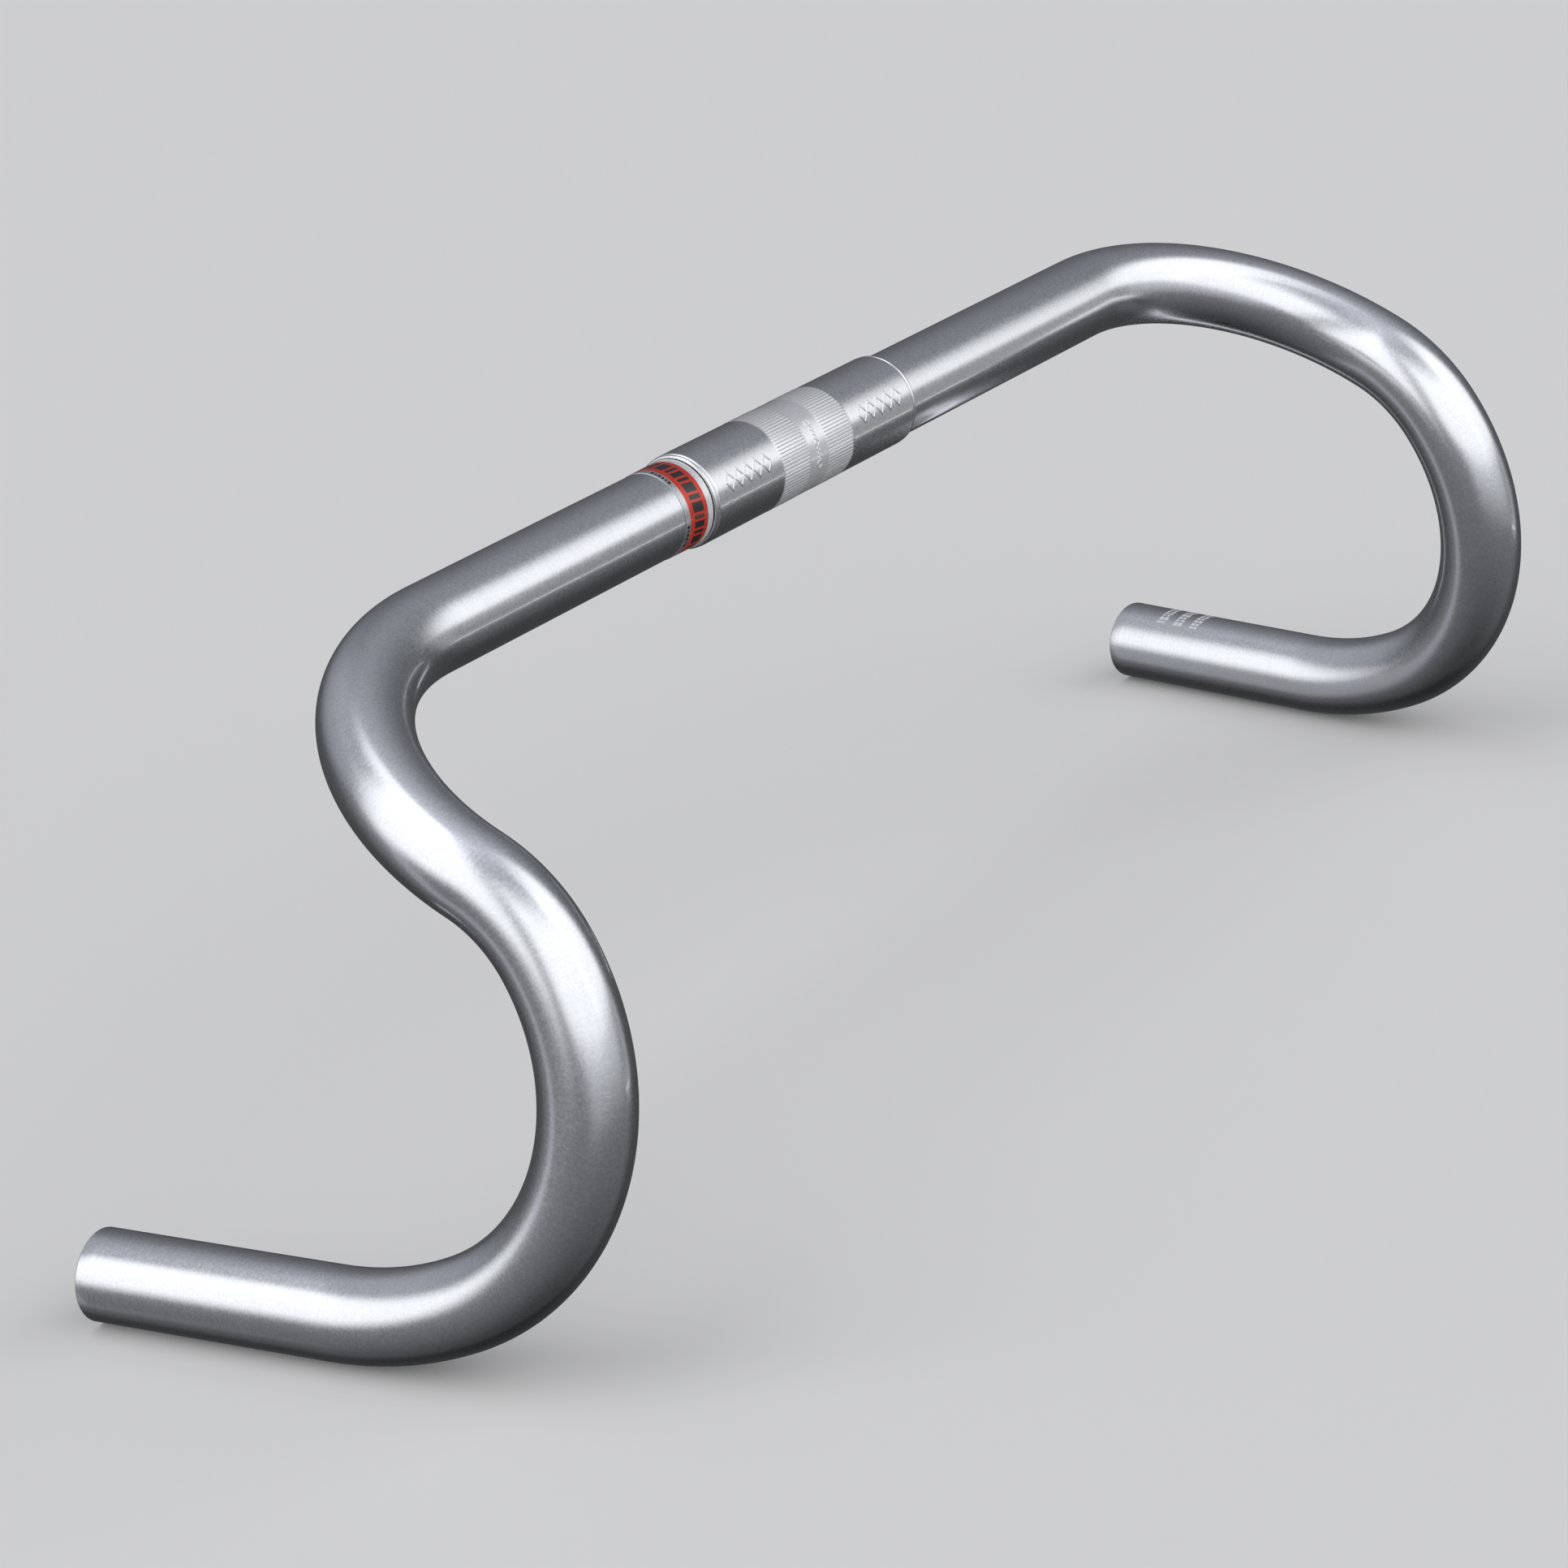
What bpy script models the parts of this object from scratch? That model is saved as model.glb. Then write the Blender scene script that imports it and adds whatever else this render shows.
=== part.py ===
"""A bare drop handlebar: one bent tube, the clamp sleeve over its middle, and the printed label beside it.

Metres, +Z up. The origin is the middle of the stem clamp, on the tube's axis. X runs along the tops, the
hooks reach forwards to -Y, and the open ends of the drops point back to +Y. One half of the bar is drawn
along +X, and the other half mirrors it.
"""

import math

import bmesh
import bpy
from mathutils import Matrix, Vector

# Round sections
SIDES = 24
TUBE_RADIUS = 0.0119
TUBE_WALL = 0.0018
SLEEVE_RADIUS = 0.0130
SLEEVE_GAP = 0.0001
LABEL_GAP = 0.00005
LABEL_THICKNESS = 0.0001

# Along the tops
SLEEVE_LENGTH = 0.094
SLEEVE_CHAMFER = 0.0006
SLEEVE_LIP_WIDTH = 0.0022
SLEEVE_LIP_DROP = 0.0002
LABEL_WIDTH = 0.012
LABEL_FROM_SLEEVE = 0.0004
HALF_TOP = 0.151

# The ramp bend turns the tops forwards. Its plane dips below the horizontal.
RAMP_RADIUS = 0.066
RAMP_TURN = math.radians(93.0)
RAMP_DIP = math.radians(26.0)

# The hook: bends of different radius, one after the other, in one plane that leans outwards at its foot.
# The last bend goes on until the tube is level, and the straight of the drop follows it.
HOOK_LEAN = math.radians(8.3)
HOOK_BENDS = (
    (0.0450, math.radians(32.2)),
    (0.0635, math.radians(51.3)),
    (0.0610, math.radians(46.8)),
)
LAST_BEND_RADIUS = 0.0935
DROP_STRAIGHT = 0.070

TURN_PER_STATION = math.radians(9.0)
SHARP_EDGE = math.radians(40.0)


def clear_scene():
    for obj in list(bpy.data.objects):
        bpy.data.objects.remove(obj, do_unlink=True)


def metal(name, colour, roughness, metallic):
    material = bpy.data.materials.new(name)
    material.use_nodes = True
    shader = material.node_tree.nodes["Principled BSDF"]
    shader.inputs["Base Color"].default_value = (*colour, 1.0)
    shader.inputs["Roughness"].default_value = roughness
    shader.inputs["Metallic"].default_value = metallic
    return material


def add_object(name, mesh_data, material):
    """Turns a bmesh into a named object with outward faces and smooth round sides."""
    bmesh.ops.recalc_face_normals(mesh_data, faces=mesh_data.faces)
    mesh = bpy.data.meshes.new(name)
    mesh_data.to_mesh(mesh)
    mesh_data.free()
    mesh.shade_smooth()
    mesh.set_sharp_from_angle(angle=SHARP_EDGE)
    mesh.materials.append(material)
    obj = bpy.data.objects.new(name, mesh)
    bpy.context.scene.collection.objects.link(obj)
    return obj


def straight(path, length):
    point, direction = path[-1]
    path.append((point + direction * length, direction))


def bend(path, radius, turn, axis):
    """Carries the path round an arc that turns about the axis."""
    start, direction = path[-1]
    centre = start + axis.cross(direction) * radius
    stations = max(2, math.ceil(turn / TURN_PER_STATION))
    for station in range(1, stations + 1):
        rotation = Matrix.Rotation(turn * station / stations, 3, axis)
        path.append((centre + rotation @ (start - centre), rotation @ direction))


def half_path():
    """The tube's centre line from the middle of the clamp to the right end, as (point, direction) pairs."""
    path = [(Vector((0.0, 0.0, 0.0)), Vector((1.0, 0.0, 0.0)))]
    straight(path, HALF_TOP)
    bend(path, RAMP_RADIUS, RAMP_TURN, Vector((0.0, math.sin(RAMP_DIP), -math.cos(RAMP_DIP))))

    forward = path[-1][1]
    down = Vector((0.0, 0.0, -1.0))
    down = (down - down.dot(forward) * forward).normalized()
    down = Matrix.Rotation(HOOK_LEAN, 3, forward) @ down
    hook_axis = forward.cross(down)
    for radius, turn in HOOK_BENDS:
        bend(path, radius, turn, hook_axis)
    turn_to_level = math.pi - math.atan(forward.z / down.z)
    turn_so_far = sum(turn for radius, turn in HOOK_BENDS)
    bend(path, LAST_BEND_RADIUS, turn_to_level - turn_so_far, hook_axis)
    straight(path, DROP_STRAIGHT)
    return path


def rings_along(path, radius):
    """A ring of points round each place on the path, turned with it so that the rings don't twist."""
    upright = Vector((0.0, 0.0, 1.0))
    direction_before = path[0][1]
    rings = []
    for point, direction in path:
        upright = direction_before.rotation_difference(direction) @ upright
        sideways = direction.cross(upright)
        angles = [2.0 * math.pi * side / SIDES for side in range(SIDES)]
        rings.append([point + radius * (math.cos(a) * upright + math.sin(a) * sideways) for a in angles])
        direction_before = direction
    return rings


def mirrored(ring):
    return [Vector((-point.x, point.y, point.z)) for point in ring]


def whole_bar_rings(radius):
    right = rings_along(half_path(), radius)
    left = [mirrored(ring) for ring in reversed(right[1:])]
    return left + right


def closed_shell(outer, inner):
    """A tube with a wall: the outer rings, the inner rings, and flat faces across the wall at both ends."""
    mesh_data = bmesh.new()
    loops = [[mesh_data.verts.new(point) for point in ring] for ring in outer + inner[::-1]]
    for first, second in zip(loops, loops[1:] + loops[:1]):
        for side in range(SIDES):
            after = (side + 1) % SIDES
            mesh_data.faces.new((first[side], first[after], second[after], second[side]))
    return mesh_data


def turned_ring(profile):
    """A closed ring turned about the X axis. The profile is (x, radius) points round its section."""
    mesh_data = bmesh.new()
    loops = []
    for x, radius in profile:
        angles = [2.0 * math.pi * side / SIDES for side in range(SIDES)]
        points = [Vector((x, -radius * math.sin(a), radius * math.cos(a))) for a in angles]
        loops.append([mesh_data.verts.new(point) for point in points])
    for first, second in zip(loops, loops[1:] + loops[:1]):
        for side in range(SIDES):
            after = (side + 1) % SIDES
            mesh_data.faces.new((first[side], first[after], second[after], second[side]))
    return mesh_data


def make_bar_tube():
    outer = whole_bar_rings(TUBE_RADIUS)
    inner = whole_bar_rings(TUBE_RADIUS - TUBE_WALL)
    add_object("bar_tube", closed_shell(outer, inner), metal("satin_tube", (0.72, 0.73, 0.75), 0.32, 1.0))


def make_clamp_sleeve():
    """The sleeve: a thick middle, and at each end a lip that is a little lower, with a chamfered rim."""
    end = SLEEVE_LENGTH / 2.0
    bore = TUBE_RADIUS + SLEEVE_GAP
    lip_radius = SLEEVE_RADIUS - SLEEVE_LIP_DROP
    right_half = [
        (end - SLEEVE_LIP_WIDTH - SLEEVE_LIP_DROP, SLEEVE_RADIUS),
        (end - SLEEVE_LIP_WIDTH, lip_radius),
        (end - SLEEVE_CHAMFER, lip_radius),
        (end, lip_radius - SLEEVE_CHAMFER),
        (end, bore),
    ]
    left_half = [(-x, radius) for x, radius in reversed(right_half)]
    profile = right_half + left_half
    add_object("clamp_sleeve", turned_ring(profile), metal("satin_sleeve", (0.74, 0.74, 0.75), 0.30, 1.0))


def make_label_film():
    near = -SLEEVE_LENGTH / 2.0 - LABEL_FROM_SLEEVE
    far = near - LABEL_WIDTH
    inside = TUBE_RADIUS + LABEL_GAP
    outside = inside + LABEL_THICKNESS
    profile = [(near, outside), (near, inside), (far, inside), (far, outside)]
    add_object("label_film", turned_ring(profile), metal("label_print", (0.62, 0.05, 0.03), 0.35, 0.0))


def main():
    clear_scene()
    make_bar_tube()
    make_clamp_sleeve()
    make_label_film()


main()
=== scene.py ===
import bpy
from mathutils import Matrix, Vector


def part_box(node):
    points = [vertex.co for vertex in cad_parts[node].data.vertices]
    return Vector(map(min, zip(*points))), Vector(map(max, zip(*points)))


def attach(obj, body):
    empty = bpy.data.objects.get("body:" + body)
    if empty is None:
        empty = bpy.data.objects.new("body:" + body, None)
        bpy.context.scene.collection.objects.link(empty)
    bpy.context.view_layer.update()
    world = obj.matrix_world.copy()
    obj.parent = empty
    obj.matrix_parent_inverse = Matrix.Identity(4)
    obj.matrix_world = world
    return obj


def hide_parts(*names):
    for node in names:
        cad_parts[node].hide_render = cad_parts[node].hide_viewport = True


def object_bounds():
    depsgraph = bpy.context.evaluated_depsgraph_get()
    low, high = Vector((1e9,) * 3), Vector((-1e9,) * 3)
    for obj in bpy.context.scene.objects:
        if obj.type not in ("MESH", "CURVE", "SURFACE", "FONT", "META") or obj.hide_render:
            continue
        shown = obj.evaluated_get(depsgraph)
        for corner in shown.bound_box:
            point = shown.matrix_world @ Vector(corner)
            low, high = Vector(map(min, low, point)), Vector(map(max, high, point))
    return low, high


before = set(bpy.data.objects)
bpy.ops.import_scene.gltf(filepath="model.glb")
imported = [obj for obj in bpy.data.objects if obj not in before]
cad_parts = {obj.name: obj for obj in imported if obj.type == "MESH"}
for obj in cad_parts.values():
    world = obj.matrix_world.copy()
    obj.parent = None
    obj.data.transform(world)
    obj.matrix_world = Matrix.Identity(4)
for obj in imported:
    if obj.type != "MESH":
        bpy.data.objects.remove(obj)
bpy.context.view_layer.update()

import math
import random

import bmesh
import bpy
from mathutils import Matrix, Vector

# ---------------------------------------------------------------------------------------------------
# Dimensions, in metres, the same as the CAD's
# ---------------------------------------------------------------------------------------------------

TUBE_RADIUS = 0.0119
TUBE_WALL = 0.0018
HALF_TOP = 0.151
RAMP_RADIUS = 0.066
RAMP_TURN = math.radians(93.0)
RAMP_DIP = math.radians(26.0)
HOOK_LEAN = math.radians(8.3)
HOOK_BENDS = (
    (0.0450, math.radians(32.2)),
    (0.0635, math.radians(51.3)),
    (0.0610, math.radians(46.8)),
)
LAST_BEND_RADIUS = 0.0935
DROP_STRAIGHT = 0.070

SLEEVE_RADIUS = 0.0130
SLEEVE_LENGTH = 0.094

# ---------------------------------------------------------------------------------------------------
# The bar's centre line
# ---------------------------------------------------------------------------------------------------

TURN_STEP = math.radians(1.5)
STRAIGHT_STEP = 0.004


def straight(path, length):
    """Adds evenly spaced stations along a straight run."""
    steps = max(1, math.ceil(length / STRAIGHT_STEP))
    start, direction, along = path[-1]
    for step in range(1, steps + 1):
        run = length * step / steps
        path.append((start + direction * run, direction, along + run))


def bend(path, radius, turn, axis):
    """Adds evenly spaced stations round an arc that turns about the axis."""
    start, direction, along = path[-1]
    centre = start + axis.cross(direction) * radius
    steps = max(2, math.ceil(turn / TURN_STEP))
    for step in range(1, steps + 1):
        part = turn * step / steps
        rotation = Matrix.Rotation(part, 3, axis)
        path.append((centre + rotation @ (start - centre), rotation @ direction, along + radius * part))


def half_path():
    """The right half's centre line as (point, direction, distance along the tube)."""
    path = [(Vector((0.0, 0.0, 0.0)), Vector((1.0, 0.0, 0.0)), 0.0)]
    straight(path, HALF_TOP)
    bend(path, RAMP_RADIUS, RAMP_TURN, Vector((0.0, math.sin(RAMP_DIP), -math.cos(RAMP_DIP))))
    forward = path[-1][1]
    down = Vector((0.0, 0.0, -1.0))
    down = (down - down.dot(forward) * forward).normalized()
    down = Matrix.Rotation(HOOK_LEAN, 3, forward) @ down
    hook_axis = forward.cross(down)
    for radius, turn in HOOK_BENDS:
        bend(path, radius, turn, hook_axis)
    turn_to_level = math.pi - math.atan(forward.z / down.z)
    turn_so_far = sum(turn for radius, turn in HOOK_BENDS)
    bend(path, LAST_BEND_RADIUS, turn_to_level - turn_so_far, hook_axis)
    straight(path, DROP_STRAIGHT)
    return path


def with_uprights(path):
    """Adds to each station a direction square to the tube that is carried along without twist."""
    upright = Vector((0.0, 0.0, 1.0))
    direction_before = path[0][1]
    stations = []
    for point, direction, along in path:
        upright = direction_before.rotation_difference(direction) @ upright
        stations.append((point, direction, upright.copy(), along))
        direction_before = direction
    return stations


RIGHT_HALF = with_uprights(half_path())

# ---------------------------------------------------------------------------------------------------
# Mesh making
# ---------------------------------------------------------------------------------------------------

SHARP_EDGE = math.radians(50.0)
RIB_SHARP_EDGE = math.radians(70.0)


def ring_points(station, radius, sides, back=0.0):
    """A ring round a station. back draws it that far before the station."""
    point, direction, upright, along = station
    centre = point - direction * back
    sideways = direction.cross(upright)
    ring = []
    for side in range(sides):
        angle = 2.0 * math.pi * side / sides
        ring.append(centre + radius * (math.cos(angle) * upright + math.sin(angle) * sideways))
    return ring


def loops_to_faces(mesh_data, loops, closed=True):
    """Joins neighbouring rings of vertices with quads. Closed joins the last ring to the first as well."""
    pairs = list(zip(loops, loops[1:]))
    if closed:
        pairs.append((loops[-1], loops[0]))
    for first, second in pairs:
        count = len(first)
        for side in range(count):
            after = (side + 1) % count
            mesh_data.faces.new((first[side], first[after], second[after], second[side]))


def finish_object(name, mesh_data, material, smooth_angle=None, replaced=None):
    """Turns a bmesh into a smooth object, and says what it is in the frame."""
    bmesh.ops.recalc_face_normals(mesh_data, faces=mesh_data.faces)
    mesh = bpy.data.meshes.new(name)
    mesh_data.to_mesh(mesh)
    mesh_data.free()
    mesh.shade_smooth()
    if smooth_angle is not None:
        mesh.set_sharp_from_angle(angle=smooth_angle)
    mesh.materials.append(material)
    obj = bpy.data.objects.new(name, mesh)
    bpy.context.scene.collection.objects.link(obj)
    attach(obj, "root")
    if replaced:
        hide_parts(replaced)


# ---------------------------------------------------------------------------------------------------
# Node helpers
# ---------------------------------------------------------------------------------------------------

# The mesh attribute that holds the distance along the bent tube
ALONG = "along"

# How sharply scattered marks start and stop
SCATTER_EDGE = 0.04


def grey(value, blue=0.0):
    return (value * (1.0 - blue), value * (1.0 - 0.3 * blue), value * (1.0 + blue), 1.0)


class Nodes:
    """Short names for the few node kinds that the materials and the studio use."""

    def __init__(self, tree):
        self.tree = tree

    def add(self, kind, **inputs):
        node = self.tree.nodes.new(kind)
        for name, value in inputs.items():
            self.put(node.inputs[name.replace("_", " ")], value)
        return node

    def put(self, socket, value):
        if isinstance(value, bpy.types.NodeSocket):
            self.tree.links.new(value, socket)
        else:
            socket.default_value = value

    def noise(self, vector, scale, detail=2.0, roughness=0.5):
        node = self.add("ShaderNodeTexNoise", Vector=vector, Scale=scale, Detail=detail,
                        Roughness=roughness)
        return node.outputs["Fac"]

    def streaks(self, vector, along, scale, finer):
        """Noise that changes slowly over the vector and finer times faster along the other coordinate."""
        node = self.tree.nodes.new("ShaderNodeTexNoise")
        node.noise_dimensions = "4D"
        self.put(node.inputs["Vector"], vector)
        self.put(node.inputs["W"], self.product(along, finer))
        node.inputs["Scale"].default_value = scale
        node.inputs["Detail"].default_value = 1.0
        return node.outputs["Fac"]

    def spread(self, value, low, high, to_low=0.0, to_high=1.0, smooth=False):
        """Maps low to to_low and high to to_high, and holds the value beyond them."""
        node = self.add("ShaderNodeMapRange", Value=value)
        if smooth:
            node.interpolation_type = "SMOOTHSTEP"
        node.inputs["From Min"].default_value = low
        node.inputs["From Max"].default_value = high
        node.inputs["To Min"].default_value = to_low
        node.inputs["To Max"].default_value = to_high
        return node.outputs["Result"]

    def maths(self, operation, first, second=None, third=None):
        node = self.tree.nodes.new("ShaderNodeMath")
        node.operation = operation
        for index, value in enumerate((first, second, third)):
            if value is not None:
                self.put(node.inputs[index], value)
        return node.outputs["Value"]

    def product(self, *values):
        result = values[0]
        for value in values[1:]:
            result = self.maths("MULTIPLY", result, value)
        return result

    def total(self, *values):
        result = values[0]
        for value in values[1:]:
            result = self.maths("ADD", result, value)
        return result

    def vector_maths(self, operation, first, second):
        node = self.tree.nodes.new("ShaderNodeVectorMath")
        node.operation = operation
        self.put(node.inputs[0], first)
        self.put(node.inputs["Scale" if operation == "SCALE" else 1], second)
        return node.outputs["Vector"]

    def blend(self, factor, first, second):
        node = self.tree.nodes.new("ShaderNodeMix")
        node.data_type = "RGBA"
        for name, value in (("Factor", factor), ("A", first), ("B", second)):
            socket = [one for one in node.inputs if one.name == name and one.enabled][0]
            self.put(socket, value)
        return [one for one in node.outputs if one.enabled][0]

    def bump(self, height, strength, distance):
        node = self.add("ShaderNodeBump", Height=height, Strength=strength, Distance=distance)
        return node.outputs["Normal"]


class Material(Nodes):
    """A Principled material. seed moves its patterns so that no two materials share them."""

    def __init__(self, name, seed=0.0):
        self.material = bpy.data.materials.new(name)
        self.material.use_nodes = True
        super().__init__(self.material.node_tree)
        self.shader = self.tree.nodes["Principled BSDF"]
        self.object_place = self.add("ShaderNodeTexCoord").outputs["Object"]
        self.place = self.vector_maths("ADD", self.object_place, (seed, seed * 0.7, seed * 1.3))

    def along(self, is_straight):
        """The distance along the bar: x on a straight piece, and the mesh's own record on the bent one."""
        if is_straight:
            return self.add("ShaderNodeSeparateXYZ", Vector=self.object_place).outputs["X"]
        node = self.tree.nodes.new("ShaderNodeAttribute")
        node.attribute_name = ALONG
        return node.outputs["Fac"]

    def marks(self, vector, scale, core, edge, scatter, share):
        """A round mark in every cell of a random pattern, kept only in scattered places.

        A mark is full inside core and gone beyond edge. A larger share keeps fewer of them.
        """
        cells = self.add("ShaderNodeTexVoronoi", Vector=vector, Scale=scale)
        mark = self.spread(cells.outputs["Distance"], core, edge, 1.0, 0.0)
        kept = self.spread(self.noise(self.place, scatter, detail=1.0), share, share + SCATTER_EDGE)
        return self.product(mark, kept)

    def drawn_out(self, vector, sizes, turn):
        """The place turned and then scaled differently along each axis, which draws a pattern out."""
        node = self.add("ShaderNodeMapping", Vector=vector)
        node.vector_type = "TEXTURE"
        node.inputs["Rotation"].default_value = turn
        node.inputs["Scale"].default_value = tuple(1.0 / size for size in sizes)
        return node.outputs["Vector"]

    def set(self, **inputs):
        for name, value in inputs.items():
            self.put(self.shader.inputs[name.replace("_", " ")], value)
        return self.material


# ---------------------------------------------------------------------------------------------------
# Satin anodised aluminium
# ---------------------------------------------------------------------------------------------------

# How fine each pattern is, in waves or cells to a metre
GRAIN_SCALE = 1350.0
HAIR_SCALE = 45.0
HAIR_FINER = 34.0
CLOUD_SCALE = 34.0
PATCH_SCALE = 190.0
SPECKS = {"scale": 420.0, "core": 0.04, "edge": 0.075, "scatter": 61.0, "share": 0.62}
PITS = {"scale": 170.0, "core": 0.018, "edge": 0.032, "scatter": 27.0, "share": 0.56}

# Scratches are dots drawn out along a line. They run two ways, each with a scatter of its own.
SCRATCHES = {"scale": 1.0, "core": 0.012, "edge": 0.024, "share": 0.60}
SCRATCH_CELLS = (260.0, 260.0, 11.0)
SCRATCH_WAYS = (((0.5, 0.3, 0.9), 33.0), ((1.9, 1.1, 0.2), 29.0))

# How much of the darker and paler tone is grain, and how much is hairlines
GRAIN_SHARE = 0.8
HAIR_SHARE = 0.2

# Tones as parts of the metal's own, and how far the marks reach their colours
DARK_TONE = 0.89
PALE_TONE = 1.07
CLOUD_TONE = 0.84
CLOUD_AMOUNT = 0.06
BRIGHT_MARK = grey(0.97)
BRIGHT_AMOUNT = 0.45
DARK_MARK = grey(0.22)
DARK_AMOUNT = 0.8

# What each pattern adds to the roughness
GRAIN_ROUGHER = 0.04
BROAD_ROUGHER = (-0.008, 0.010)
SCRATCH_ROUGHER = 0.08

# What each pattern adds to the height, beside the grain's
HAIR_HEIGHT = 0.7
SPECK_HEIGHT = 0.8
PIT_HEIGHT = -2.5
SCRATCH_HEIGHT = -0.8
GRAIN_RELIEF = 0.00005

# The clear anodised layer
COAT = 0.8
COAT_ROUGHNESS = 0.04
COAT_IOR = 2.0

# How the sleeve's knurled bands and the band between them differ from the rest
MATT_ROUGHER = 0.06
MATT_LESS_METALLIC = 0.35
MATT_COLOUR = grey(0.98)
MATT_AMOUNT = 0.8


def satin_aluminium(name, tone, rough, blue=0.012, grain_depth=0.12, seed=0.0, is_straight=False,
                    matt_middle=False):
    """Satin anodised aluminium.

    It has a fine even grain, hairlines round the tube from polishing, soft cloudiness, and here and there a
    bright speck, a dark pit or a hairline scratch. matt_middle makes it paler and less glossy between the
    sleeve's knurled bands and on them.
    """
    look = Material(name, seed)
    place = look.place
    along = look.along(is_straight)
    grain = look.noise(place, GRAIN_SCALE, detail=2.5, roughness=0.75)
    hairs = look.streaks(place, along, HAIR_SCALE, HAIR_FINER)
    cloud = look.noise(place, CLOUD_SCALE, detail=3.0)
    patch = look.noise(place, PATCH_SCALE)
    speck = look.marks(place, **SPECKS)
    pit = look.marks(place, **PITS)
    scratch = look.maths("MAXIMUM", *[
        look.marks(look.drawn_out(place, SCRATCH_CELLS, turn), scatter=scatter, **SCRATCHES)
        for turn, scatter in SCRATCH_WAYS])

    shade = look.total(look.product(grain, GRAIN_SHARE), look.product(hairs, HAIR_SHARE))
    colour = look.blend(look.spread(shade, 0.36, 0.64),
                        grey(tone * DARK_TONE, blue), grey(tone * PALE_TONE, blue))
    colour = look.blend(look.spread(cloud, 0.42, 0.72, 0.0, CLOUD_AMOUNT),
                        colour, grey(tone * CLOUD_TONE, blue * 1.5))
    colour = look.blend(look.product(look.maths("MAXIMUM", speck, scratch), BRIGHT_AMOUNT),
                        colour, BRIGHT_MARK)
    colour = look.blend(look.product(pit, DARK_AMOUNT), colour, DARK_MARK)
    roughness = look.total(look.spread(grain, 0.3, 0.7, rough - GRAIN_ROUGHER, rough + GRAIN_ROUGHER),
                           look.spread(patch, 0.3, 0.7, *BROAD_ROUGHER),
                           look.spread(cloud, 0.3, 0.7, *BROAD_ROUGHER),
                           look.product(scratch, SCRATCH_ROUGHER))
    metallic = 1.0
    if matt_middle:
        edge = KNURL_BANDS[1][1]
        matt = look.spread(look.maths("ABSOLUTE", along), edge - KNURL_RAMP, edge + KNURL_RAMP, 1.0, 0.0)
        roughness = look.maths("MULTIPLY_ADD", matt, MATT_ROUGHER, roughness)
        metallic = look.maths("MULTIPLY_ADD", matt, -MATT_LESS_METALLIC, 1.0)
        colour = look.blend(look.product(matt, MATT_AMOUNT), colour, MATT_COLOUR)
    height = look.total(grain, look.product(hairs, HAIR_HEIGHT), look.product(speck, SPECK_HEIGHT),
                        look.product(pit, PIT_HEIGHT), look.product(scratch, SCRATCH_HEIGHT))
    return look.set(Base_Color=colour, Metallic=metallic, Roughness=roughness, Coat_Weight=COAT,
                    Coat_Roughness=COAT_ROUGHNESS, Coat_IOR=COAT_IOR,
                    Normal=look.bump(height, grain_depth, GRAIN_RELIEF))


# ---------------------------------------------------------------------------------------------------
# The tube
# ---------------------------------------------------------------------------------------------------

TUBE_SIDES = 96
END_ROUND = 0.00035
END_ROUND_STEPS = 4


def tube_rings():
    """The right half's rings as (points, distance along).

    They run out from the middle, round the rounded end, and back inside.
    """
    inner_radius = TUBE_RADIUS - TUBE_WALL
    end = RIGHT_HALF[-1]
    rings = [(ring_points(station, TUBE_RADIUS, TUBE_SIDES), station[3]) for station in RIGHT_HALF[:-1]]
    quarter = math.pi / 2.0
    for step in range(END_ROUND_STEPS + 1):
        angle = quarter * step / END_ROUND_STEPS
        radius = TUBE_RADIUS - END_ROUND * (1.0 - math.cos(angle))
        rings.append((ring_points(end, radius, TUBE_SIDES, END_ROUND * (1.0 - math.sin(angle))), end[3]))
    for step in range(END_ROUND_STEPS + 1):
        angle = quarter * step / END_ROUND_STEPS
        radius = inner_radius + END_ROUND * (1.0 - math.sin(angle))
        rings.append((ring_points(end, radius, TUBE_SIDES, END_ROUND * (1.0 - math.cos(angle))), end[3]))
    rings += [(ring_points(station, inner_radius, TUBE_SIDES), station[3])
              for station in reversed(RIGHT_HALF[:-1])]
    return rings


def make_tube():
    right = tube_rings()
    left = [([Vector((-point.x, point.y, point.z)) for point in ring], -along)
            for ring, along in reversed(right[1:-1])]
    mesh_data = bmesh.new()
    layer = mesh_data.verts.layers.float.new(ALONG)
    loops = []
    for ring, along in right + left:
        loop = [mesh_data.verts.new(point) for point in ring]
        for vertex in loop:
            vertex[layer] = along
        loops.append(loop)
    loops_to_faces(mesh_data, loops)
    metal = satin_aluminium("tube_satin", tone=0.90, rough=0.23)
    finish_object("tube", mesh_data, metal, replaced="bar_tube")


# ---------------------------------------------------------------------------------------------------
# The clamp sleeve
# ---------------------------------------------------------------------------------------------------

# A little wider than the CAD's, so that it stays clear of this finer tube
SLEEVE_BORE = 0.0121

# One tooth of the knurling goes from the crest at 1 to the foot of the groove at 0
KNURL_COUNT = 82
KNURL_PROFILE = (1.0, 1.0, 0.995, 0.98, 0.93, 0.50, 0.0, 0.50, 0.93, 0.98, 0.995, 1.0)
KNURL_DEPTH = 0.00011
KNURL_RAISE = 0.00006
KNURL_BANDS = ((-0.0161, -0.0043), (0.0043, 0.0161))
KNURL_RAMP = 0.0004
PLAIN_STEP = 0.0004

# The rounded lip at each end and the groove behind it: (distance in from the end, depth below the surface)
LIP = (
    (0.0, 0.00060),
    (0.00008, 0.00040),
    (0.00022, 0.00022),
    (0.00042, 0.00011),
    (0.00065, 0.00008),
    (0.00090, 0.00013),
    (0.00102, 0.00026),
    (0.00108, 0.00036),
    (0.00126, 0.00036),
    (0.00132, 0.00026),
    (0.00142, 0.00008),
    (0.00156, 0.00001),
    (0.00175, 0.0),
    (0.00200, 0.0),
)


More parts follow.
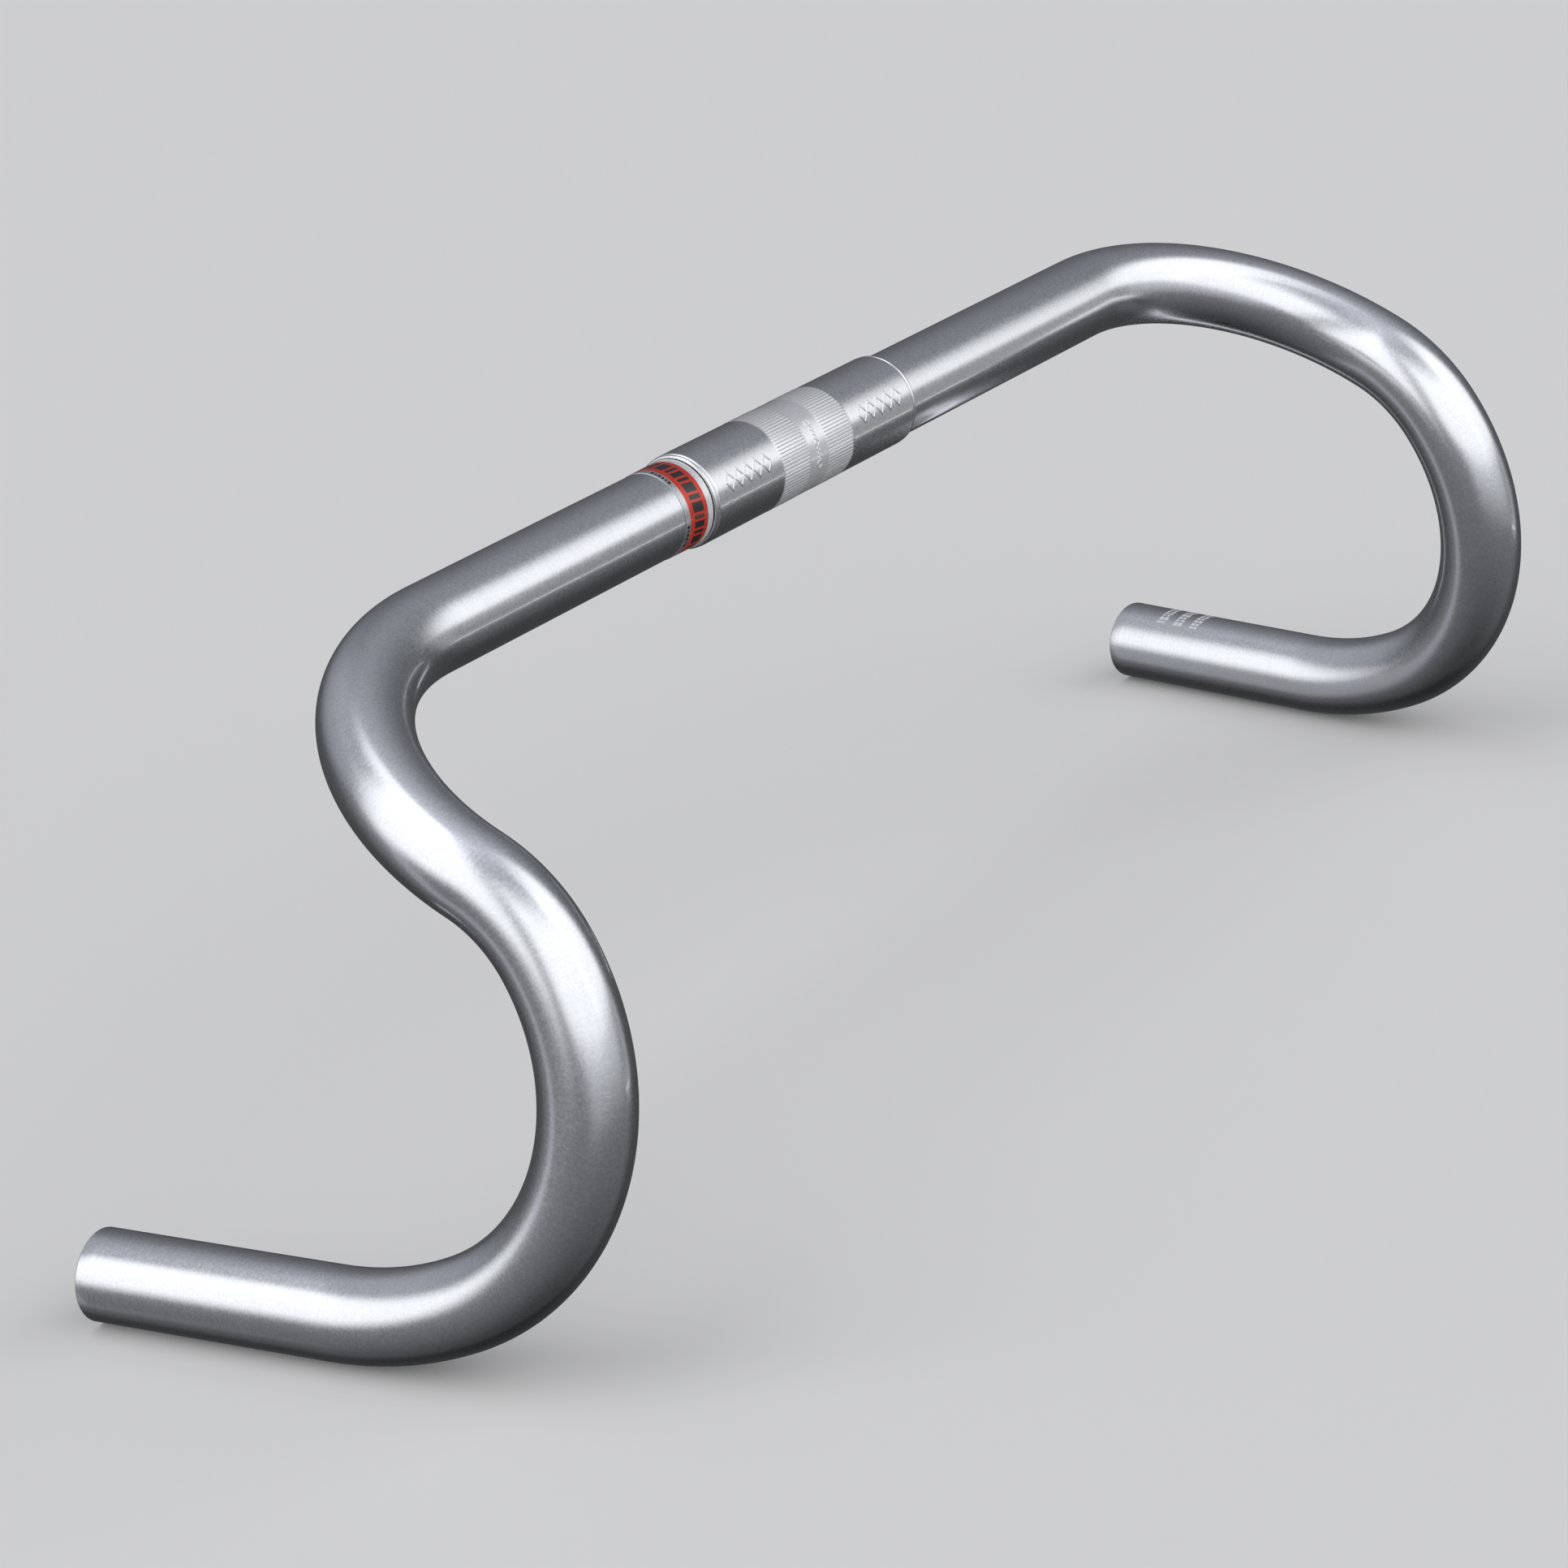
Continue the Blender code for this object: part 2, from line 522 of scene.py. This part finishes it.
def sleeve_profile():
    """The sleeve's outside from its left end to its right end: (x, radius, how much knurl)."""
    half = SLEEVE_LENGTH / 2.0
    lip = [(half, SLEEVE_BORE, 0.0)]
    lip += [(half - inset, SLEEVE_RADIUS - depth, 0.0) for inset, depth in LIP]
    rows = [(-x, radius, knurl) for x, radius, knurl in lip]
    for start, end in KNURL_BANDS:
        rows += [
            (start - KNURL_RAMP - PLAIN_STEP, SLEEVE_RADIUS, 0.0),
            (start - KNURL_RAMP, SLEEVE_RADIUS, 0.0),
            (start, SLEEVE_RADIUS, 0.5),
            (start + KNURL_RAMP, SLEEVE_RADIUS, 1.0),
            (end - KNURL_RAMP, SLEEVE_RADIUS, 1.0),
            (end, SLEEVE_RADIUS, 0.5),
            (end + KNURL_RAMP, SLEEVE_RADIUS, 0.0),
            (end + KNURL_RAMP + PLAIN_STEP, SLEEVE_RADIUS, 0.0),
        ]
    return rows + lip[::-1]


def make_sleeve(material):
    columns = KNURL_COUNT * len(KNURL_PROFILE)
    mesh_data = bmesh.new()
    loops = []
    for x, radius, knurl in sleeve_profile():
        loop = []
        for column in range(columns):
            angle = 2.0 * math.pi * column / columns
            tooth = KNURL_RAISE - KNURL_DEPTH * (1.0 - KNURL_PROFILE[column % len(KNURL_PROFILE)])
            reach = radius + knurl * tooth
            loop.append(mesh_data.verts.new((x, reach * math.sin(angle), reach * math.cos(angle))))
        loops.append(loop)
    loops_to_faces(mesh_data, loops)
    finish_object("sleeve", mesh_data, material, smooth_angle=SHARP_EDGE,
                  replaced="clamp_sleeve")


# ---------------------------------------------------------------------------------------------------
# Thin shapes laid on a round surface
# ---------------------------------------------------------------------------------------------------

# A rib's section: (part of its width from the middle, part of its height). Its foot is under the surface.
RIB_SECTION = ((-0.5, -0.4), (-0.5, 0.0), (-0.32, 0.75), (0.0, 1.0), (0.32, 0.75), (0.5, 0.0), (0.5, -0.4))


class Skin:
    """A round surface that flat drawings are wrapped onto. A place on it is (along, arc) in metres.

    arc runs round the surface from its upper side. On the sleeve it runs towards the front of the bar.
    """

    def __init__(self, centre, direction, radius):
        self.centre = Vector(centre)
        self.direction = Vector(direction).normalized()
        self.up = Vector((0.0, 0.0, 1.0))
        self.sideways = self.direction.cross(self.up)
        self.radius = radius

    def point(self, along, arc, height):
        angle = arc / self.radius
        outward = math.cos(angle) * self.up + math.sin(angle) * self.sideways
        return self.centre + self.direction * along + outward * (self.radius + height)

    def plate(self, mesh_data, low, high, start, end, bottom, top, slant=0.0, steps=6):
        """A thin plate from low to high along the bar and from start to end round it.

        slant moves its high side that far round.
        """
        loops = []
        for step in range(steps + 1):
            arc = start + (end - start) * step / steps
            corners = ((low, arc, bottom), (high, arc + slant, bottom), (high, arc + slant, top),
                       (low, arc, top))
            loops.append([mesh_data.verts.new(self.point(*corner)) for corner in corners])
        loops_to_faces(mesh_data, loops, closed=False)
        mesh_data.faces.new(loops[0])
        mesh_data.faces.new(loops[-1])

    def ridge(self, mesh_data, places, width, height):
        """A low rounded rib along a closed line of places."""
        places = [Vector(place) for place in places]
        loops = []
        for index, place in enumerate(places):
            inward = (place - places[index - 1]).normalized()
            outward = (places[(index + 1) % len(places)] - place).normalized()
            across = Vector((-(inward.y + outward.y), inward.x + outward.x))
            across = across.normalized() / max(0.5, math.cos(inward.angle(outward) / 2.0))
            loop = []
            for offset, level in RIB_SECTION:
                spot = place + across * (offset * width)
                loop.append(mesh_data.verts.new(self.point(spot.x, spot.y, level * height)))
            loops.append(loop)
        loops_to_faces(mesh_data, loops)


def refined(corners, longest):
    """Adds places to a closed line so that no piece of it is longer than this: it follows a round surface."""
    corners = [Vector(corner) for corner in corners]
    line = []
    for first, second in zip(corners, corners[1:] + corners[:1]):
        steps = max(1, math.ceil((second - first).length / longest))
        line += [first.lerp(second, step / steps) for step in range(steps)]
    return line


SLEEVE_SKIN = Skin((0.0, 0.0, 0.0), (1.0, 0.0, 0.0), SLEEVE_RADIUS)

# ---------------------------------------------------------------------------------------------------
# The raised ornament on the sleeve
# ---------------------------------------------------------------------------------------------------

RIB_WIDTH = 0.00056
RIB_HEIGHT = 0.00016
RIB_STEP = 0.0005

LOZENGE_ROWS = (("ornament_near", -0.0308), ("ornament_far", 0.0308))
LOZENGE_ARC = math.radians(69.0) * SLEEVE_RADIUS
LOZENGE_COUNT = 5
LOZENGE_PITCH = 0.0041
LOZENGE_TALL = 0.0050
LOZENGE_WIDE = 0.0037

CHAIN_START = math.radians(44.0) * SLEEVE_RADIUS
CHAIN_LINKS = (0.00115, 0.0006, 0.0006, 0.0006, 0.0009, 0.0006, 0.0006, 0.0006, 0.00115)
LINK_SIDES = 14
LINK_SIZE = 0.9
LINK_GAP = 0.00008
LINK_RIB_WIDTH = RIB_WIDTH * 0.8


def make_lozenges(name, centre, material):
    mesh_data = bmesh.new()
    wide, tall = LOZENGE_WIDE / 2.0, LOZENGE_TALL / 2.0
    for index in range(LOZENGE_COUNT):
        x = centre + (index - LOZENGE_COUNT // 2) * LOZENGE_PITCH
        corners = [(x - wide, LOZENGE_ARC), (x, LOZENGE_ARC - tall), (x + wide, LOZENGE_ARC),
                   (x, LOZENGE_ARC + tall)]
        SLEEVE_SKIN.ridge(mesh_data, refined(corners, RIB_STEP), RIB_WIDTH, RIB_HEIGHT)
    finish_object(name, mesh_data, material, smooth_angle=RIB_SHARP_EDGE)


def make_chain(material):
    mesh_data = bmesh.new()
    arc = CHAIN_START
    turns = [2.0 * math.pi * step / LINK_SIDES for step in range(LINK_SIDES)]
    for size in CHAIN_LINKS:
        arc += size
        radius = size * LINK_SIZE
        link = [(radius * math.cos(turn), arc + radius * math.sin(turn)) for turn in turns]
        SLEEVE_SKIN.ridge(mesh_data, link, LINK_RIB_WIDTH, RIB_HEIGHT)
        arc += size + LINK_GAP
    finish_object("ornament_chain", mesh_data, material, smooth_angle=RIB_SHARP_EDGE)


def make_ornaments(material):
    """A row of outlined lozenges on both plain zones, and a chain of rings between the knurled bands."""
    for name, centre in LOZENGE_ROWS:
        make_lozenges(name, centre, material)
    make_chain(material)


# ---------------------------------------------------------------------------------------------------
# The printed label
# ---------------------------------------------------------------------------------------------------

LABEL_RADIUS = 0.01205
LABEL_INSIDE = 0.01193
LABEL_SIDES = 192
FILM = 0.00002

BAND_EDGES = (-0.0573, -0.0498)
EDGE_FROM_BAND = 0.0002
EDGE_FROM_END = 0.0001

BLOCK_TALL = 0.0042
BLOCK_MIDDLE = -0.05345
BLOCK_SLANT = 0.00045
BLOCK_WIDTHS = (0.0026, 0.0009, 0.0017, 0.0009, 0.0026, 0.0013)
BLOCK_GAP = 0.00075

DASH_MIDDLE = -0.05835
DASH_TALL = 0.00105
DASH_WIDTHS = (0.0009, 0.0005, 0.0009, 0.0007, 0.0005, 0.0009)
DASH_GAP = 0.00042
DASH_GROUPS = 4
DASH_START = 0.08

FOIL_COLOUR = (0.78, 0.79, 0.80)
PALE_COLOUR = (0.95, 0.95, 0.94)
RED_COLOUR = (0.74, 0.045, 0.018)
BLACK_COLOUR = (0.016, 0.015, 0.017)
ETCHED_COLOUR = (0.93, 0.93, 0.94)

# The print's unevenness, in waves to a metre, and how it mixes into colour, gloss and height
PRINT_FINE = 1500.0
PRINT_BROAD = 160.0
PRINT_FINE_SHARE = 0.6
PRINT_BROAD_SHARE = 0.4
PRINT_DARKER = 0.82
PRINT_ROUGHER = 0.05
PRINT_RELIEF = 0.00003


def print_material(name, colour, roughness, metallic=0.0, seed=0.0):
    """Ink or foil on film: slightly uneven in colour and gloss, under a clear layer."""
    look = Material(name, seed)
    fine = look.noise(look.place, PRINT_FINE)
    broad = look.noise(look.place, PRINT_BROAD)
    mixed = look.total(look.product(fine, PRINT_FINE_SHARE), look.product(broad, PRINT_BROAD_SHARE))
    darker = tuple(PRINT_DARKER * part for part in colour)
    uneven_colour = look.blend(look.spread(mixed, 0.35, 0.65), (*darker, 1.0), (*colour, 1.0))
    uneven_gloss = look.spread(fine, 0.3, 0.7, roughness - PRINT_ROUGHER, roughness + PRINT_ROUGHER)
    return look.set(Base_Color=uneven_colour, Metallic=metallic, Roughness=uneven_gloss, Coat_Weight=0.5,
                    Coat_Roughness=0.06, Normal=look.bump(mixed, 0.15, PRINT_RELIEF))


def film_ring(name, low, high, radius, material, replaced=None):
    mesh_data = bmesh.new()
    angles = [2.0 * math.pi * side / LABEL_SIDES for side in range(LABEL_SIDES)]
    loops = []
    for x, reach in ((low, LABEL_INSIDE), (low, radius), (high, radius), (high, LABEL_INSIDE)):
        loops.append([mesh_data.verts.new((x, reach * math.sin(a), reach * math.cos(a))) for a in angles])
    loops_to_faces(mesh_data, loops)
    finish_object(name, mesh_data, material, smooth_angle=SHARP_EDGE, replaced=replaced)


def make_blocks(skin, around, material):
    """Slanted blocks of different widths all the way round the red band."""
    run = sum(BLOCK_WIDTHS) + BLOCK_GAP * len(BLOCK_WIDTHS)
    repeats = round(around / run)
    stretch = around / (run * repeats)
    low, high = BLOCK_MIDDLE - BLOCK_TALL / 2.0, BLOCK_MIDDLE + BLOCK_TALL / 2.0
    mesh_data = bmesh.new()
    arc = 0.0
    for width in BLOCK_WIDTHS * repeats:
        end = arc + width * stretch
        skin.plate(mesh_data, low, high, arc, end, FILM * 0.5, FILM * 2.0, slant=BLOCK_SLANT)
        arc = end + BLOCK_GAP * stretch
    finish_object("label_blocks", mesh_data, material, smooth_angle=SHARP_EDGE)


def make_dashes(skin, around, material):
    """Groups of small dashes beside the red band."""
    low, high = DASH_MIDDLE - DASH_TALL / 2.0, DASH_MIDDLE + DASH_TALL / 2.0
    mesh_data = bmesh.new()
    for group in range(DASH_GROUPS):
        arc = around * (group + DASH_START) / DASH_GROUPS
        for width in DASH_WIDTHS:
            skin.plate(mesh_data, low, high, arc, arc + width, -FILM * 0.5, FILM, steps=2)
            arc += width + DASH_GAP
    finish_object("label_dashes", mesh_data, material, smooth_angle=SHARP_EDGE)


def make_label():
    low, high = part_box("label_film")
    foil = print_material("label_foil", FOIL_COLOUR, 0.30, metallic=0.9, seed=5.0)
    red = print_material("label_red", RED_COLOUR, 0.33, metallic=0.35, seed=6.0)
    black = print_material("label_black", BLACK_COLOUR, 0.32, seed=7.0)
    pale = print_material("label_pale", PALE_COLOUR, 0.30, metallic=0.45, seed=8.0)
    film_ring("label_foil", low[0], high[0], LABEL_RADIUS, foil, replaced="label_film")
    band_start, band_end = BAND_EDGES
    film_ring("label_band", band_start, band_end, LABEL_RADIUS + FILM, red)
    film_ring("label_edge", band_end + EDGE_FROM_BAND, high[0] - EDGE_FROM_END, LABEL_RADIUS + FILM, pale)

    skin = Skin((0.0, 0.0, 0.0), (1.0, 0.0, 0.0), LABEL_RADIUS)
    around = 2.0 * math.pi * LABEL_RADIUS
    make_blocks(skin, around, black)
    make_dashes(skin, around, black)


# ---------------------------------------------------------------------------------------------------
# The etched tally on one drop
# ---------------------------------------------------------------------------------------------------

TALLY_ROWS = (0.0172, 0.0236, 0.0300)
TALLY_FROM = math.radians(-31.0) * TUBE_RADIUS
TALLY_TO = math.radians(14.0) * TUBE_RADIUS
TALLY_WIDTHS = (0.0008, 0.0011, 0.0015)
TALLY_TALLS = (0.0010, 0.0014)
TALLY_SHIFTS = (-0.0015, 0.0003)
TALLY_GAP = 0.0005


def make_tally():
    """Three rows of small pale dashes etched across the top of the right drop, near its end."""
    etched = print_material("etched_dashes", ETCHED_COLOUR, 0.55, metallic=0.3, seed=9.0)
    end, direction = RIGHT_HALF[-1][:2]
    skin = Skin(end, -direction, TUBE_RADIUS)
    skin.sideways = -skin.sideways
    mesh_data = bmesh.new()
    random.seed(4)
    for row in TALLY_ROWS:
        arc = TALLY_FROM
        while arc < TALLY_TO:
            width = random.choice(TALLY_WIDTHS)
            for shift in TALLY_SHIFTS:
                tall = random.choice(TALLY_TALLS)
                near = row + shift
                skin.plate(mesh_data, near, near + tall, arc, arc + width, -FILM, FILM, steps=2)
            arc += width + TALLY_GAP
    finish_object("drop_tally", mesh_data, etched, smooth_angle=SHARP_EDGE)


# ---------------------------------------------------------------------------------------------------
# Floor
# ---------------------------------------------------------------------------------------------------

FLOOR_HALF = 30.0
FLOOR_DARKER = (0.855, 0.835, 0.800, 1.0)
FLOOR_PALER = (0.875, 0.855, 0.820, 1.0)
FLOOR_MOTTLE = 3.0


def make_floor():
    """Plain paper under the bar. It doesn't show in the metal, and lets the light from below past."""
    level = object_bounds()[0][2]
    corners = [(-FLOOR_HALF, -FLOOR_HALF), (FLOOR_HALF, -FLOOR_HALF), (FLOOR_HALF, FLOOR_HALF),
               (-FLOOR_HALF, FLOOR_HALF)]
    mesh = bpy.data.meshes.new("floor")
    mesh.from_pydata([(x, y, level) for x, y in corners], [], [(0, 1, 2, 3)])
    paper = Material("floor_paper")
    tone = paper.noise(paper.place, FLOOR_MOTTLE)
    mesh.materials.append(paper.set(Base_Color=paper.blend(tone, FLOOR_DARKER, FLOOR_PALER), Roughness=0.9))
    floor = bpy.data.objects.new("floor", mesh)
    bpy.context.scene.collection.objects.link(floor)
    floor.visible_glossy = False
    floor.visible_shadow = False


# ---------------------------------------------------------------------------------------------------
# Studio light. Directions are in degrees: round the bar from +X towards +Y, and up from the horizon.
# ---------------------------------------------------------------------------------------------------

BACKDROP = (0.62, 0.62, 0.615, 1.0)

# Tints of the light
WHITE = (0.985, 0.995, 1.03)
COOL = (0.94, 0.985, 1.10)
PURE_WHITE = (1.0, 1.0, 1.0)
GLOW_TINT = (0.96, 0.99, 1.08)
GROUND_TINT = (0.98, 0.995, 1.06)

# Soft boxes: middle and half width round the bar, lowest and highest, and how soft their edges are. The
# last one is a thin strip, which draws the fine bright line low on the front of the tops.
SOFT_BOXES = (
    {"light": 0.98, "tint": WHITE, "middle": -120.0, "half": 38.0, "low": 2.5, "high": 51.0,
     "side_edge": 13.0, "low_edge": 6.0, "high_edge": 14.0},
    {"light": 0.98, "tint": WHITE, "middle": -56.0, "half": 27.0, "low": 4.0, "high": 63.0,
     "side_edge": 10.0, "low_edge": 5.5, "high_edge": 16.0},
    {"light": 0.20, "tint": WHITE, "middle": -31.0, "half": 7.0, "low": -19.6, "high": 1.0,
     "side_edge": 4.0, "low_edge": 0.6, "high_edge": 4.0},
    {"light": 1.0, "tint": WHITE, "middle": 156.0, "half": 34.5, "low": 0.0, "high": 130.0,
     "side_edge": 11.0, "low_edge": 10.0, "high_edge": 12.0},
    {"light": 0.7, "tint": WHITE, "middle": 95.0, "half": 28.0, "low": 62.0, "high": 130.0,
     "side_edge": 16.0, "low_edge": 9.0, "high_edge": 12.0},
    {"light": 0.17, "tint": COOL, "middle": 89.0, "half": 28.0, "low": 6.0, "high": 48.0,
     "side_edge": 16.0, "low_edge": 12.0, "high_edge": 14.0},
    {"light": 0.20, "tint": COOL, "middle": 131.0, "half": 6.5, "low": -42.0, "high": 2.0,
     "side_edge": 3.0, "low_edge": 10.0, "high_edge": 6.0},
    {"light": 1.7, "tint": PURE_WHITE, "middle": -38.5, "half": 7.0, "low": -19.9, "high": -18.9,
     "side_edge": 3.0, "low_edge": 0.3, "high_edge": 0.3},
)

# The ceiling is dim at the horizon and brightens towards the zenith
HORIZON_EDGE = 3.0
CEILING_LOWEST = 0.105
CEILING_RISE = 0.58

# The ground darkens downwards, and is darker still on the far side of the bar
GROUND_FOOT = -75.0
GROUND_DARKEST = 0.045
GROUND_BRIGHTEST = 0.20
FAR_SIDE = {"middle": 38.0, "half": 68.0, "edge": 16.0}
FAR_SIDE_SHADE = 0.6

# A low glow in front of the bar, which brightens upwards
GLOW_SIDES = {"middle": -92.0, "half": 44.0, "edge": 14.0}
GLOW_FOOT = -20.0
GLOW_FOOT_EDGE = 0.6
GLOW_TOP = 3.0
GLOW_TOP_EDGE = 5.0
GLOW_FADE_FROM = -24.0
GLOW_DARKEST = 0.06
GLOW_BRIGHTEST = 0.36


def make_studio():
    """A dim room lit by soft boxes and a low glow. The camera sees a plain pale backdrop in its place."""
    world = bpy.data.worlds.new("studio")
    bpy.context.scene.world = world
    world.use_nodes = True
    room = Nodes(world.node_tree)
    way = room.add("ShaderNodeSeparateXYZ", Vector=room.add("ShaderNodeTexCoord").outputs["Generated"])
    x, y, z = way.outputs
    height = room.maths("DEGREES", room.maths("ARCSINE", z))
    turn = room.maths("DEGREES", room.maths("ARCTAN2", y, x))

    def beside(middle, half, edge):
        """1 within half of this direction round the bar, and 0 beyond a soft edge."""
        off = room.maths("ABSOLUTE", room.maths("WRAP", room.maths("SUBTRACT", turn, middle), 180.0, -180.0))
        return room.spread(off, half - edge, half + edge, 1.0, 0.0, smooth=True)

    def above(low, edge):
        return room.spread(height, low - edge, low + edge, smooth=True)

    def below(high, edge):
        return room.spread(height, high - edge, high + edge, 1.0, 0.0, smooth=True)

    def tinted(amount, tint):
        return room.vector_maths("SCALE", tint, amount)

    climb = room.maths("POWER", room.maths("MAXIMUM", room.maths("DIVIDE", height, 90.0), 0.0), 2.0)
    ceiling = room.product(above(0.0, HORIZON_EDGE),
                           room.total(room.product(climb, CEILING_RISE), CEILING_LOWEST))
    ground = room.product(below(0.0, HORIZON_EDGE),
                          room.spread(height, GROUND_FOOT, 0.0, GROUND_DARKEST, GROUND_BRIGHTEST),
                          room.maths("SUBTRACT", 1.0, room.product(beside(**FAR_SIDE), FAR_SIDE_SHADE)))
    rising = room.spread(height, GLOW_FADE_FROM, GLOW_TOP, GLOW_DARKEST, GLOW_BRIGHTEST, smooth=True)
    glow = room.product(beside(**GLOW_SIDES), above(GLOW_FOOT, GLOW_FOOT_EDGE),
                        below(GLOW_TOP, GLOW_TOP_EDGE), rising)
    light = tinted(ceiling, COOL)
    light = room.vector_maths("ADD", light, tinted(ground, GROUND_TINT))
    light = room.vector_maths("ADD", light, tinted(glow, GLOW_TINT))
    for box in SOFT_BOXES:
        amount = room.product(beside(box["middle"], box["half"], box["side_edge"]),
                              above(box["low"], box["low_edge"]), below(box["high"], box["high_edge"]),
                              box["light"])
        light = room.vector_maths("ADD", light, tinted(amount, box["tint"]))

    seen = room.add("ShaderNodeLightPath").outputs["Is Camera Ray"]
    background = room.tree.nodes["Background"]
    room.put(background.inputs["Color"], room.blend(seen, light, BACKDROP))
    bpy.context.scene.view_settings.view_transform = "Standard"


# ---------------------------------------------------------------------------------------------------
# Camera
# ---------------------------------------------------------------------------------------------------

CAMERA_PLACE = (-1.00434, -0.75614, 0.37938)
CAMERA_TURN = (68.6724, 5.8770, -54.2523)
CAMERA_LENS = 111.591
CAMERA_SENSOR = 36.0
CAMERA_SHIFT = (0.03106, 0.03106)
CAMERA_NEAREST = 0.05
CAMERA_FARTHEST = 50.0


def make_camera():
    data = bpy.data.cameras.new("camera")
    data.lens = CAMERA_LENS
    data.sensor_width = CAMERA_SENSOR
    data.shift_x, data.shift_y = CAMERA_SHIFT
    data.clip_start = CAMERA_NEAREST
    data.clip_end = CAMERA_FARTHEST
    camera = bpy.data.objects.new("camera", data)
    camera.location = CAMERA_PLACE
    camera.rotation_euler = [math.radians(turn) for turn in CAMERA_TURN]
    bpy.context.scene.collection.objects.link(camera)
    bpy.context.scene.camera = camera


make_camera()
make_tube()
sleeve_metal = satin_aluminium("sleeve_satin", tone=0.93, rough=0.24, blue=0.002, grain_depth=0.02,
                               seed=3.0, is_straight=True, matt_middle=True)
make_sleeve(sleeve_metal)
make_ornaments(sleeve_metal)
make_label()
make_tally()
make_floor()
make_studio()
